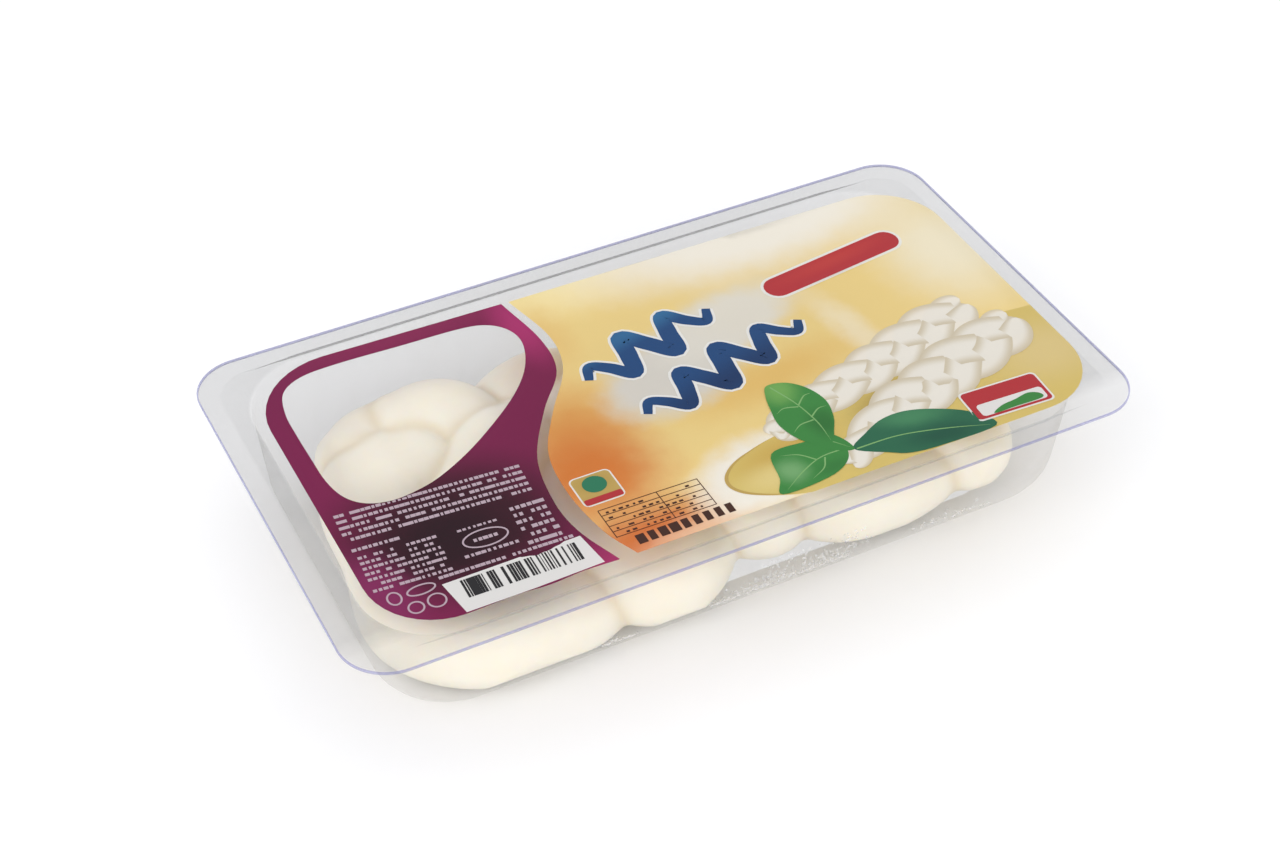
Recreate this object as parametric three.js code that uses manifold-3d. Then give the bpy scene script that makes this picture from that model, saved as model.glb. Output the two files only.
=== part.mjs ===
// A sealed clear tray pack that holds one plaited string cheese.
//
// Millimetres, +Z up. The origin is on the surface that the pack stands on, under the middle of
// the pack. +X runs along the pack, away from the end where the lid has its clear window, and -Y
// faces the side that the plait is pressed against.
//
// Three solids: the thin formed tray, the lid film sealed flat on its flange, and the cheese.

import * as THREE from 'three';
import { mergeVertices } from 'three/addons/utils/BufferGeometryUtils.js';
import Module from 'manifold-3d';

const wasm = await Module();
wasm.setup();

// The tray
const PACK_LENGTH = 200; // over the flange
const PACK_WIDTH = 112; // over the flange
const TRAY_DEPTH = 34; // from the surface below to the top of the flange
const WALL = 0.6; // the formed sheet
const FLANGE_CORNER = 12; // radius of the flange's outline
const MOUTH_LENGTH = 180; // the cavity's opening, inside the sheet
const MOUTH_WIDTH = 99;
const MOUTH_CORNER = 18;
const DRAFT = 2.6; // how far each side leans in from the flange to the base
const BASE_CORNER = 17; // radius of the base's plan, before its rounding
const BASE_ROUND = 12; // large rounding between the walls and the base
const BASE_CORNER_LOSS = 0.5; // of the plan's corner radius, for each mm that the base draws in
const BASE_CORNER_LEAST = 4; // the plan's smallest corner radius
const LIP_ROUND = 1.2; // small rounding between the walls and the flange
const LIP_HALFWAY = 0.3; // the rounding's middle, as a share of its radius inward and down

// The lid film, with room in its thickness for its slight waves
const FILM_THICKNESS = 0.5;

// The cheese: strands plaited by hand while hot, so they are one solid
const STRAND_WIDTH = 27; // of one strand, seen from above
const STRAND_HEIGHT = 22;
const STRAND_SQUARING = 0.82; // 1 is an oval section, less is a squarer one
const CROSSING_LIFT = 4.4; // how far a strand rises or sinks as it passes another
const MIDDLE_HEIGHT = 12.2; // of the strands' centres over the surface below
const REST_GAP = 0.3; // between the cheese and the tray's floor

// The way each strand takes, as [x, y, lift, width]: lift is in crossing lifts and width in
// strand widths. At a SWING the strand crosses to the plait's other side: under the strand that
// it meets first and over the next one. The first strand is hooked round the plait's first end,
// the second starts on top of it, and the last is an end that is tucked in behind.
const SWING = 'swing';
const STRANDS = [
  [
    [-57, 18, 0.6, 0.98], [-68, 15, 0.5, 1.06], [-72.5, -2, 0, 0.84], [-72, -22, -0.3, 1.06],
    [-61, -31.5, -0.2, 1.12], [-47, -32.5, -0.3, 1.02], [-35, -30, -0.8, 0.85], SWING,
    [-6, 26, 0, 0.95], [4, 26, 0, 1], SWING,
    [28, -29, 0.2, 0.98], [43, -30, -0.2, 1], [55.5, -28.5, -0.6, 0.8], SWING,
    [69, 12, 0, 0.7],
  ],
  [[-63, -12, 0.3, 0.9], [-48, -3, 0.9, 1.05], [-37, 10, 1.1, 1.05], [-28, 17, 0.7, 0.85]],
  [
    [-35, 21, -0.8, 0.7], [-26, 29, 0.2, 0.9], [-14, 29, 0.3, 0.95], SWING,
    [8, -25, 0, 0.88], [14, -26, -0.3, 0.88], SWING,
    [42, 24, 0, 1], [50, 24, 0, 1], SWING,
    [67, 2, 0, 0.75],
  ],
  [
    [-56, 30, 0.9, 0.88], [-45, 28, 0.9, 0.95], [-37, 12, 0.2, 0.9], [-30, -20, 0.8, 0.94],
    [-24, -32, 0, 0.98], [-15, -32.5, -0.4, 1], [-6.5, -28.5, -0.8, 0.76], SWING,
    [20, 27, 0, 1], [28, 27, 0, 1], SWING,
    [66, -29.5, 0, 0.9], [70.5, -20.5, -0.3, 0.78],
  ],
  [[-69.5, 26, 0.9, 0.76], [-63, 31, 0.6, 0.8], [-57, 33, 0.6, 0.76]],
];
// Where a swing passes under and over, as [share of the way in x, share of the way in y, lift]
const CROSSINGS = [[1 / 3, 0.3, -1], [2 / 3, 0.7, 1]];

// How finely the curves are cut into flat faces
const CORNER_STEPS = 8; // to each rounded corner in plan
const ROUND_STEPS = 5; // to the base rounding
const STRAND_SIDES = 18; // round a strand
const STEP_LENGTH = 5; // along a strand
const CAP_STEPS = 3; // to a strand's rounded end
const CAP_TIP = 0.5; // of a step, left flat at its tip

// Joins rings of points, each with the same number of points, into one closed skin. The first
// and last rings are closed by fans.
function loftSkin(rings) {
  const sides = rings[0].length;
  const positions = rings.flat().flatMap((p) => [p.x, p.y, p.z]);
  const triangles = [];
  for (let r = 0; r + 1 < rings.length; r++) {
    for (let s = 0; s < sides; s++) {
      const a = r * sides + s;
      const b = r * sides + ((s + 1) % sides);
      triangles.push(a, b, b + sides, a, b + sides, a + sides);
    }
  }
  for (const [ring, turned] of [[0, true], [rings.length - 1, false]]) {
    const middle = new THREE.Vector3();
    rings[ring].forEach((p) => middle.addScaledVector(p, 1 / sides));
    const centre = positions.length / 3;
    positions.push(middle.x, middle.y, middle.z);
    for (let s = 0; s < sides; s++) {
      const a = ring * sides + s;
      const b = ring * sides + ((s + 1) % sides);
      triangles.push(...(turned ? [centre, b, a] : [centre, a, b]));
    }
  }
  const geometry = new THREE.BufferGeometry();
  geometry.setAttribute('position', new THREE.Float32BufferAttribute(positions, 3));
  geometry.setIndex(triangles);
  return geometry;
}

// A rounded rectangle at one height, anticlockwise seen from above.
function roundedRing(length, width, radius, z) {
  const ring = [];
  const corners = [[1, 1], [-1, 1], [-1, -1], [1, -1]];
  corners.forEach(([signX, signY], corner) => {
    for (let step = 0; step <= CORNER_STEPS; step++) {
      const angle = (Math.PI / 2) * (corner + step / CORNER_STEPS);
      ring.push(new THREE.Vector3(
        signX * (length / 2 - radius) + radius * Math.cos(angle),
        signY * (width / 2 - radius) + radius * Math.sin(angle),
        z,
      ));
    }
  });
  return ring;
}

// One side of the formed sheet, from the middle of the base up to the flange. offset is how far
// this side lies outside the cavity's own surface.
function sheetRings(offset) {
  const floor = WALL - offset;
  const top = TRAY_DEPTH - offset;
  const rings = [];
  const round = BASE_ROUND + offset;
  const ringAt = (inset, z) => {
    const share = (z - floor) / (top - floor);
    const lean = DRAFT * (1 - share);
    const radius = BASE_CORNER + (MOUTH_CORNER - BASE_CORNER) * share + offset;
    const shrink = 2 * (offset - lean - inset);
    const corner = Math.max(radius - BASE_CORNER_LOSS * inset, BASE_CORNER_LEAST);
    rings.push(roundedRing(MOUTH_LENGTH + shrink, MOUTH_WIDTH + shrink, corner, z));
  };
  for (let step = 0; step <= ROUND_STEPS; step++) {
    const angle = (Math.PI / 2) * (step / ROUND_STEPS);
    ringAt(round * (1 - Math.sin(angle)), floor + round * (1 - Math.cos(angle)));
  }
  ringAt(0, top - LIP_ROUND);
  ringAt(-LIP_HALFWAY * LIP_ROUND, top - LIP_HALFWAY * LIP_ROUND);
  ringAt(-LIP_ROUND, top);
  return rings;
}

function trayGeometry() {
  const underside = roundedRing(PACK_LENGTH, PACK_WIDTH, FLANGE_CORNER, TRAY_DEPTH - WALL);
  const topside = roundedRing(PACK_LENGTH, PACK_WIDTH, FLANGE_CORNER, TRAY_DEPTH);
  return loftSkin([...sheetRings(WALL), underside, topside, ...sheetRings(0).reverse()]);
}

function filmGeometry() {
  const underside = roundedRing(PACK_LENGTH, PACK_WIDTH, FLANGE_CORNER, TRAY_DEPTH);
  const topside = underside.map((p) => p.clone().setZ(TRAY_DEPTH + FILM_THICKNESS));
  return loftSkin([underside, topside]);
}

// A strand's way with its swings written out, as [x, y, lift, width].
function routeOf(way) {
  return way.flatMap((stop, index) => {
    if (stop !== SWING) return [stop];
    const [x0, y0, , width0] = way[index - 1];
    const [x1, y1, , width1] = way[index + 1];
    return CROSSINGS.map(([shareX, shareY, lift]) => [
      x0 + (x1 - x0) * shareX, y0 + (y1 - y0) * shareY, lift, width0 + (width1 - width0) * shareY,
    ]);
  });
}

// The line through the middle of a strand, with its width factor at each point.
function strandLine(way) {
  const route = routeOf(way);
  const stops = route.map(([x, y, lift]) => (
    new THREE.Vector3(x, y, MIDDLE_HEIGHT + CROSSING_LIFT * lift)
  ));
  const curve = new THREE.CatmullRomCurve3(stops, false, 'catmullrom', 0.5);
  const line = [];
  for (let span = 0; span + 1 < route.length; span++) {
    const steps = Math.ceil(stops[span].distanceTo(stops[span + 1]) / STEP_LENGTH);
    for (let step = span === 0 ? 0 : 1; step <= steps; step++) {
      const t = step / steps;
      const ease = t * t * (3 - 2 * t);
      line.push({
        point: curve.getPoint((span + t) / (route.length - 1)),
        width: route[span][3] * (1 - ease) + route[span + 1][3] * ease,
      });
    }
  }
  return line;
}

// A strand swept along its line, a squared oval in section, with rounded ends.
function strandGeometry(line) {
  const squared = (value) => Math.sign(value) * Math.abs(value) ** STRAND_SQUARING;
  const ring = (index, reach, shrink) => {
    const { point, width } = line[index];
    const before = line[Math.max(index - 1, 0)].point;
    const after = line[Math.min(index + 1, line.length - 1)].point;
    const along = after.clone().sub(before).normalize();
    const across = new THREE.Vector3(0, 0, 1).cross(along).normalize();
    const up = along.clone().cross(across);
    const centre = point.clone().addScaledVector(along, reach * width * (STRAND_HEIGHT / 2));
    return Array.from({ length: STRAND_SIDES }, (_, side) => {
      const angle = (2 * Math.PI * side) / STRAND_SIDES;
      const size = shrink * width;
      return centre.clone()
        .addScaledVector(across, size * (STRAND_WIDTH / 2) * squared(Math.cos(angle)))
        .addScaledVector(up, size * (STRAND_HEIGHT / 2) * squared(Math.sin(angle)));
    });
  };
  const rings = line.map((_, index) => ring(index, 0, 1));
  for (let step = 1; step <= CAP_STEPS; step++) {
    const angle = (Math.PI / 2) * (step / (CAP_STEPS + CAP_TIP));
    rings.unshift(ring(0, -Math.sin(angle), Math.cos(angle)));
    rings.push(ring(line.length - 1, Math.sin(angle), Math.cos(angle)));
  }
  return loftSkin(rings);
}

// A closed geometry as a solid that can be joined and cut.
function solidOf(geometry) {
  const bare = geometry.clone();
  bare.deleteAttribute('normal');
  bare.deleteAttribute('uv');
  const merged = mergeVertices(bare);
  return new wasm.Manifold(new wasm.Mesh({
    numProp: 3,
    vertProperties: new Float32Array(merged.attributes.position.array),
    triVerts: new Uint32Array(merged.index.array),
  }));
}

function geometryOf(solid) {
  const mesh = solid.getMesh();
  const geometry = new THREE.BufferGeometry();
  geometry.setAttribute('position', new THREE.Float32BufferAttribute(mesh.vertProperties, 3));
  geometry.setIndex(Array.from(mesh.triVerts));
  return geometry;
}

// The strands joined into one plait, pressed flat where it rests on the tray's floor. Crumbs
// left loose where a strand folds on itself are dropped.
function plaitGeometry() {
  const pieces = STRANDS.map((way) => solidOf(strandGeometry(strandLine(way))));
  const joined = pieces.reduce((whole, piece) => whole.add(piece));
  const room = solidOf(loftSkin(sheetRings(-REST_GAP)));
  const bodies = joined.intersect(room).decompose();
  return geometryOf(bodies.sort((a, b) => b.volume() - a.volume())[0]);
}

function named(name, geometry, colour, roughness, opacity = 1) {
  const material = new THREE.MeshStandardMaterial({
    color: colour, roughness, metalness: 0, opacity, transparent: opacity < 1,
  });
  const mesh = new THREE.Mesh(geometry, material);
  mesh.name = name;
  return mesh;
}

const pack = new THREE.Group();
pack.add(
  named('tray', trayGeometry(), 0xdfe3e6, 0.15, 0.3),
  named('lid_film', filmGeometry(), 0x7a2a58, 0.2),
  named('cheese_plait', plaitGeometry(), 0xf3e9cf, 0.35),
);

export default pack;
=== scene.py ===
"""A shut clear tray with one braided string cheese in it and a printed lid film.

All sizes in this file are millimetres until a mesh is made, which is then in metres. The pack
lies along X with its clear window at the -X end, -Y is its front, and z 0 is what it stands on.
"""

import math

import bpy
import numpy as np
from mathutils import Matrix, Vector
from mathutils.geometry import delaunay_2d_cdt


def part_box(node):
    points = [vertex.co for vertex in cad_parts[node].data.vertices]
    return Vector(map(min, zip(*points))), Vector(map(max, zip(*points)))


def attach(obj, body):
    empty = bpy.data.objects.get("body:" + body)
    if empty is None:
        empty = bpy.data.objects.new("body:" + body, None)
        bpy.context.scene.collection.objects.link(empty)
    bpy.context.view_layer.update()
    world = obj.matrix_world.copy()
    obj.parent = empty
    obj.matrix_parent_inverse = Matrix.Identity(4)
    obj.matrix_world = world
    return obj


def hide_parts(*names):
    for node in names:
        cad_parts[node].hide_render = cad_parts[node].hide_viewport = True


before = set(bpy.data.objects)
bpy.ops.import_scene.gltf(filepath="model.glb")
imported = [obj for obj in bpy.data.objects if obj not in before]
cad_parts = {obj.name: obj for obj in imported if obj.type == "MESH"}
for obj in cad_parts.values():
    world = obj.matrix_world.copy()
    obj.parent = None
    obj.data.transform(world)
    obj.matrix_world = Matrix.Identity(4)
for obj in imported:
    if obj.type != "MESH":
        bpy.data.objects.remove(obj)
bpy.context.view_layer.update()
MM = 0.001

# ---------------------------------------------------------------- sizes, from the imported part
tray_low, tray_high = (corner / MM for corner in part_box("tray"))
LENGTH = tray_high.x - tray_low.x
WIDTH = tray_high.y - tray_low.y
RIM = tray_high.z  # the flange's upper side, where the film is welded on
WALL = 0.6
FLANGE_CORNER = 12.0
MOUTH = (180.0, 99.0, 18.0)  # the cavity at its mouth: length, width, corner radius
BASE_CORNER = 17.0
DRAFT = 2.6
BASE_ROUND = 12.0
LIP_ROUND = 1.2
SEAL_BAND = 5.0  # the flange's outer band, which lies a little lower than the rest
BAND_DROP = 0.3
SEAL_EDGE = 0.6  # half the width of the slope between the two
CUT_LINE = 0.3  # the tinted line seen along the flange's punched edge
FILM_REST = 0.13  # the film's middle surface over the flange
INK_REST = 0.02  # the lowest printed layer over the film
INK_LAYER = 0.028  # from one printed layer to the next
FILM_LAYER = -0.6  # the clear film itself, counted in printed layers

# The strands of the plait as [x, y, lift, width]: lift in crossing lifts, width in strand
# widths. At SWING a strand goes to the plait's other side, under the first strand that it
# meets and over the next one.
STRAND = (27.0, 22.0)  # width and height of one strand
SQUARING = 0.82
LIFT = 4.4
MIDDLE = 12.2
REST = 0.9  # the plait's underside
WALL_GAP = 0.35  # between the plait and the tray's walls
GRAIN = 0.85  # the plait's mesh size
SOFTENING = 5  # rounds of smoothing at the creases
SWING = None
STRANDS = [
    [(-57, 18, 0.6, 0.98), (-68, 15, 0.5, 1.06), (-72.5, -2, 0, 0.84), (-72, -22, -0.3, 1.06),
     (-61, -31.5, -0.2, 1.12), (-47, -32.5, -0.3, 1.02), (-35, -30, -0.8, 0.85), SWING,
     (-6, 26, 0, 0.95), (4, 26, 0, 1), SWING,
     (28, -29, 0.2, 0.98), (43, -30, -0.2, 1), (55.5, -28.5, -0.6, 0.8), SWING, (69, 12, 0, 0.7)],
    [(-63, -12, 0.3, 0.9), (-48, -3, 0.9, 1.05), (-37, 10, 1.1, 1.05), (-28, 17, 0.7, 0.85)],
    [(-35, 21, -0.8, 0.7), (-26, 29, 0.2, 0.9), (-14, 29, 0.3, 0.95), SWING,
     (8, -25, 0, 0.88), (14, -26, -0.3, 0.88), SWING,
     (42, 24, 0, 1), (50, 24, 0, 1), SWING, (67, 2, 0, 0.75)],
    [(-56, 30, 0.9, 0.88), (-45, 28, 0.9, 0.95), (-37, 12, 0.2, 0.9), (-30, -20, 0.8, 0.94),
     (-24, -32, 0, 0.98), (-15, -32.5, -0.4, 1), (-6.5, -28.5, -0.8, 0.76), SWING,
     (20, 27, 0, 1), (28, 27, 0, 1), SWING, (66, -29.5, 0, 0.9), (70.5, -20.5, -0.3, 0.78)],
    [(-69.5, 26, 0.9, 0.76), (-63, 31, 0.6, 0.8), (-57, 33, 0.6, 0.76)],
]
CROSSINGS = [(1 / 3, 0.3, -1), (2 / 3, 0.7, 1)]


# ---------------------------------------------------------------- curves in a plane
def curve_through(points, steps=8, closed=False):
    """A smooth curve through points of any number of coordinates, with steps to each span."""
    p = np.array(points, float)
    if closed:
        p = np.vstack([p[-1], p, p[:2]])
    else:
        p = np.vstack([2 * p[0] - p[1], p, 2 * p[-1] - p[-2]])
    line = []
    for a, b, c, d in zip(p[:-3], p[1:-2], p[2:-1], p[3:]):
        for step in range(steps):
            t = step / steps
            line.append(0.5 * (2 * b + (c - a) * t + (2 * a - 5 * b + 4 * c - d) * t * t
                               + (3 * b - a - 3 * c + d) * t ** 3))
    if not closed:
        line.append(p[-2])
    return [tuple(q) for q in line]


def arc(x, y, radius, start, end, steps=10):
    angles = np.radians(np.linspace(start, end, steps + 1))
    return [(x + radius * math.cos(a), y + radius * math.sin(a)) for a in angles]


def turn_ring(ring, x, y, turn):
    """A ring turned by an angle in degrees and moved to (x, y)."""
    c, s = math.cos(math.radians(turn)), math.sin(math.radians(turn))
    return [(x + c * a - s * b, y + s * a + c * b) for a, b in ring]


def rounded_box(x, y, length, width, radius, turn=0.0, steps=5):
    """A rounded rectangle round (x, y), turned by an angle in degrees."""
    ring = []
    for k, (sx, sy) in enumerate([(1, 1), (-1, 1), (-1, -1), (1, -1)]):
        ring += arc(sx * (length / 2 - radius), sy * (width / 2 - radius), radius,
                    90 * k, 90 * k + 90, steps)
    return turn_ring(ring, x, y, turn)


def ellipse(x, y, rx, ry, turn=0.0, steps=28):
    angles = np.linspace(0, 2 * math.pi, steps, endpoint=False)
    return turn_ring([(rx * math.cos(a), ry * math.sin(a)) for a in angles], x, y, turn)


# ---------------------------------------------------------------- meshes
def put(name, data):
    """A new object in the scene."""
    piece = bpy.data.objects.new(name, data)
    bpy.context.scene.collection.objects.link(piece)
    return piece


def new_mesh(name, vertices, faces):
    """A mesh from millimetres."""
    mesh = bpy.data.meshes.new(name)
    mesh.from_pydata([tuple(float(c) * MM for c in v) for v in vertices], [], faces)
    return mesh


def as_object(name, vertices, faces, material):
    """A smooth mesh object from millimetres, with one material, riding on the pack."""
    mesh = new_mesh(name, vertices, faces)
    mesh.validate()
    mesh.polygons.foreach_set("use_smooth", [True] * len(mesh.polygons))
    mesh.materials.append(material)
    piece = put(name, mesh)
    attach(piece, "root")
    return piece


def point_attribute(mesh, name, values):
    attribute = mesh.attributes.new(name, "FLOAT", "POINT")
    attribute.data.foreach_set("value", np.asarray(values, np.float32))


def unit(vectors):
    return vectors / np.linalg.norm(vectors, axis=1, keepdims=True)


def loft(rings):
    """One closed skin over rings of equally many points; both ends are closed by fans."""
    sides = len(rings[0])
    vertices = [tuple(p) for ring in rings for p in ring]
    faces = []
    for r in range(len(rings) - 1):
        for s in range(sides):
            a, b = r * sides + s, r * sides + (s + 1) % sides
            faces.append((a, b, b + sides, a + sides))
    for r, turned in ((0, True), (len(rings) - 1, False)):
        centre = len(vertices)
        vertices.append(tuple(np.mean(rings[r], axis=0)))
        for s in range(sides):
            a, b = r * sides + s, r * sides + (s + 1) % sides
            faces.append((centre, b, a) if turned else (centre, a, b))
    return vertices, faces


def plan_ring(length, width, radius, z, steps=14):
    return [(x, y, z) for x, y in rounded_box(0, 0, length, width, radius, 0, steps)]


def flange_box(inset, steps=12):
    """The flange's outline drawn in by an inset."""
    return rounded_box(0, 0, LENGTH - 2 * inset, WIDTH - 2 * inset, FLANGE_CORNER - 0.5 * inset,
                       0, steps)


def rim_drop(x, y):
    """How far the flange lies below its inner part at a point: the outer band is lower."""
    qx = max(abs(x) - (LENGTH / 2 - FLANGE_CORNER), 0)
    qy = max(abs(y) - (WIDTH / 2 - FLANGE_CORNER), 0)
    inner = min(LENGTH / 2 - abs(x), WIDTH / 2 - abs(y))
    inset = FLANGE_CORNER - math.hypot(qx, qy) if qx and qy else inner
    t = min(max((SEAL_BAND + SEAL_EDGE - inset) / (2 * SEAL_EDGE), 0), 1)
    return BAND_DROP * t * t * (3 - 2 * t)


def film_height(x, y):
    """The lid film's height: drawn tight but gently wavy over the cavity."""
    edge = min(MOUTH[0] / 2 - abs(x), MOUTH[1] / 2 - abs(y))
    free = min(max(edge / 12, 0), 1)
    wave = (0.055 * math.sin(x / 11.5 + 0.9 * math.sin(y / 13))
            + 0.045 * math.sin(y / 7.5 + x / 23) + 0.02 * math.sin(x / 4.1 - y / 5.3))
    pucker = 0.03 * math.sin(y / 2.3) * min(max((x - 62) / 25, 0), 1)
    return RIM + FILM_REST - rim_drop(x, y) + free * (wave + pucker)


def inside(x, y, loop):
    """Whether a point lies inside a closed loop."""
    crossings = 0
    for (x0, y0), (x1, y1) in zip(loop, loop[1:] + loop[:1]):
        if (y0 > y) != (y1 > y) and x < x0 + (y - y0) / (y1 - y0) * (x1 - x0):
            crossings += 1
    return crossings % 2 == 1


def sheet(name, outline, material, layer=0, holes=(), pitch=3.0, extra=()):
    """A flat shape laid on the lid film, layer by layer, finely enough to follow its waves."""
    loops = [outline, *holes]
    points, edges = [], []
    for loop in loops:
        first = len(points)
        points += [Vector(p) for p in loop]
        edges += [(first + k, first + (k + 1) % len(loop)) for k in range(len(loop))]
    xs, ys = zip(*outline)
    for gx in np.arange(math.floor(min(xs) / pitch) * pitch, max(xs), pitch):
        for gy in np.arange(math.floor(min(ys) / pitch) * pitch, max(ys), pitch):
            points.append(Vector((gx + 0.013, gy + 0.017)))
    points += [Vector(p) for p in extra]
    flat, _, found, *_ = delaunay_2d_cdt(points, edges, [], 1, 1e-4)
    faces = []
    for face in found:
        middle = sum((flat[k] for k in face), Vector((0, 0))) / len(face)
        if not any(inside(middle.x, middle.y, list(hole)) for hole in holes):
            faces.append(face)
    rise = INK_REST + INK_LAYER * layer
    used = sorted({k for face in faces for k in face})
    place = {k: n for n, k in enumerate(used)}
    vertices = [(flat[k].x, flat[k].y, film_height(*flat[k]) + rise) for k in used]
    return as_object(name, vertices, [[place[k] for k in face] for face in faces],
                     material)


def ribbon(points, widths, layer, closed=False, steps=8):
    """Vertices and faces of a brush stroke of changing width, laid on the lid film."""
    line = curve_through([(*p, w) for p, w in zip(points, widths)], steps, closed)
    xy, wide = np.array(line)[:, :2], np.maximum(np.array(line)[:, 2], 0.02)
    along = unit(np.gradient(xy, axis=0))
    across = np.stack([-along[:, 1], along[:, 0]], 1)
    vertices, faces = [], []
    for k in range(len(xy)):
        for side in (1, 0, -1):
            x, y = xy[k] + across[k] * side * wide[k] / 2
            vertices.append((x, y, film_height(x, y) + INK_REST + INK_LAYER * layer))
    spans = len(xy) if closed else len(xy) - 1
    for k in range(spans):
        n = (k + 1) % len(xy)
        for side in (0, 1):
            faces.append((3 * k + side, 3 * k + side + 1, 3 * n + side + 1, 3 * n + side))
    return vertices, faces


def strokes(name, lines, layer, material, closed=False, steps=8):
    """Several ribbons as one piece."""
    vertices, faces = [], []
    for points, widths in lines:
        v, f = ribbon(points, widths, layer, closed, steps)
        faces += [tuple(k + len(vertices) for k in face) for face in f]
        vertices += v
    return as_object(name, vertices, faces, material)


# ---------------------------------------------------------------- materials
def srgb(code):
    """A hex colour as linear red, green, blue and alpha."""
    parts = [int(code[k:k + 2], 16) / 255 for k in (1, 3, 5)]
    return (*[c / 12.92 if c <= 0.04045 else ((c + 0.055) / 1.055) ** 2.4 for c in parts], 1)


def add(tree, kind, inputs=None, **settings):
    """A node with its settings, and its inputs set to values or linked to other sockets. A node
    given as an input stands for its first output."""
    node = tree.nodes.new(kind)
    for key, value in settings.items():
        setattr(node, key, value)
    for key, value in (inputs or {}).items():
        if isinstance(value, bpy.types.Node):
            value = value.outputs[0]
        if isinstance(value, bpy.types.NodeSocket):
            tree.links.new(value, node.inputs[key])
        else:
            node.inputs[key].default_value = value
    return node


def blank(name):
    material = bpy.data.materials.new(name)
    material.use_nodes = True
    material.node_tree.nodes.clear()
    return material, material.node_tree


def soft_spot(tree, where, centre, radii, inner=0.2, turn=0.0):
    """1 inside an ellipse on the lid, falling softly to 0 at its edge."""
    mapped = add(tree, "ShaderNodeMapping", {
        "Vector": where, "Location": (centre[0] * MM, centre[1] * MM, 0),
        "Rotation": (0, 0, math.radians(turn)), "Scale": (radii[0] * MM, radii[1] * MM, 10),
    }, vector_type="TEXTURE")
    reach = add(tree, "ShaderNodeVectorMath", {0: mapped}, operation="LENGTH")
    return add(tree, "ShaderNodeMapRange", {
        0: reach.outputs["Value"], 1: inner, 2: 1.0, 3: 1.0, 4: 0.0,
    }, interpolation_type="SMOOTHSTEP")


SHOW_THROUGH = 0.26  # the share of light that comes through an ink


def printed_ink(name, ground, spots=(), feather=0.0, roughness=0.34, grain=0.5):
    """Gravure ink on the inner side of a polyester film: the ink's colour under a thin clear
    gloss, a little uneven, as the film is pulled over the mouth. Some light comes through."""
    material, tree = blank(name)
    where = add(tree, "ShaderNodeTexCoord").outputs["Object"]
    if feather:
        # brushy borders about 3 mm long
        ripple = add(tree, "ShaderNodeTexNoise", {
            "Vector": where, "Scale": 1 / (5 * MM), "Detail": 3.0})
        moved = add(tree, "ShaderNodeVectorMath", {
            0: ripple.outputs["Color"], 1: (0.5, 0.5, 0.5)}, operation="SUBTRACT")
        where = add(tree, "ShaderNodeVectorMath", {
            0: moved, 1: (feather * MM,) * 3, 2: where}, operation="MULTIPLY_ADD")
    colour = srgb(ground)
    for code, centre, radii, inner, turn, strength in spots:
        spot = soft_spot(tree, where, centre, radii, inner, turn)
        part = add(tree, "ShaderNodeMath", {0: spot, 1: strength}, operation="MULTIPLY")
        colour = add(tree, "ShaderNodeMix", {0: part, 6: colour, 7: srgb(code)},
                     data_type="RGBA").outputs[2]
    screen = add(tree, "ShaderNodeTexNoise", {"Scale": 1 / (0.6 * MM), "Detail": 2.0})
    paper = add(tree, "ShaderNodeMapRange", {
        0: screen, 1: 0.3, 2: 0.7, 3: 1 - 0.07 * grain, 4: 1 + 0.05 * grain})
    toned = add(tree, "ShaderNodeMix", {0: 1.0, 6: colour, 7: paper},
                data_type="RGBA", blend_type="MULTIPLY")
    dimples = add(tree, "ShaderNodeTexNoise", {"Scale": 1 / (1.6 * MM), "Detail": 2.0})
    relief = add(tree, "ShaderNodeBump", {
        "Strength": 0.12, "Distance": 0.05 * MM, "Height": dimples})
    shader = add(tree, "ShaderNodeBsdfPrincipled", {
        "Base Color": toned.outputs[2], "Roughness": roughness, "IOR": 1.28,
        "Coat Weight": 0.06, "Coat Roughness": 0.15, "Normal": relief})
    glow = add(tree, "ShaderNodeBsdfTranslucent", {"Color": toned.outputs[2]})
    both = add(tree, "ShaderNodeMixShader", {0: SHOW_THROUGH, 1: shader, 2: glow})
    add(tree, "ShaderNodeOutputMaterial", {"Surface": both})
    return material


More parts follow.
